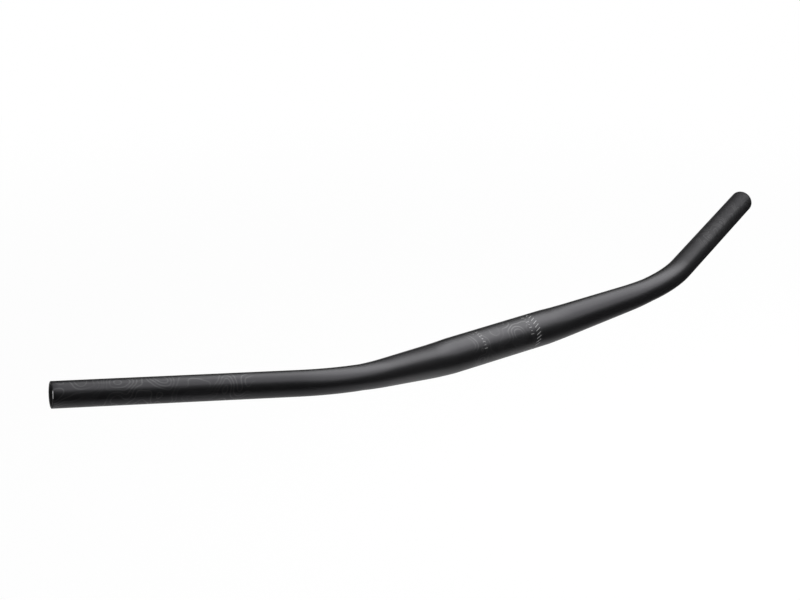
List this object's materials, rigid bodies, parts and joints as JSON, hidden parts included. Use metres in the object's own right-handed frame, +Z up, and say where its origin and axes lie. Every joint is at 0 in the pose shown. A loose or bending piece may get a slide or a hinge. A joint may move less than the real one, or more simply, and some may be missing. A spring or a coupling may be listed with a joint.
{
  "type": "riser handlebar",
  "caption": "Low-rise bicycle handlebar, a hollow tube with a fat clamp zone that tapers through forward rises into slim, strongly swept-back grips.",
  "frame": {"origin": "middle of the clamp zone, on the tube's centre line", "axes": "+X along the clamp zone to the bar's far side in the picture, +Y back towards the rider, +Z up; the front of the bar faces -Y"},
  "size_m": [0.85, 0.1168, 0.0597],
  "materials": {
    "bar": "satin black anodised, with faint tone-on-tone contour lines"
  },
  "bodies": {
    "root": {"handlebar": "bar"}
  },
  "joints": []
}
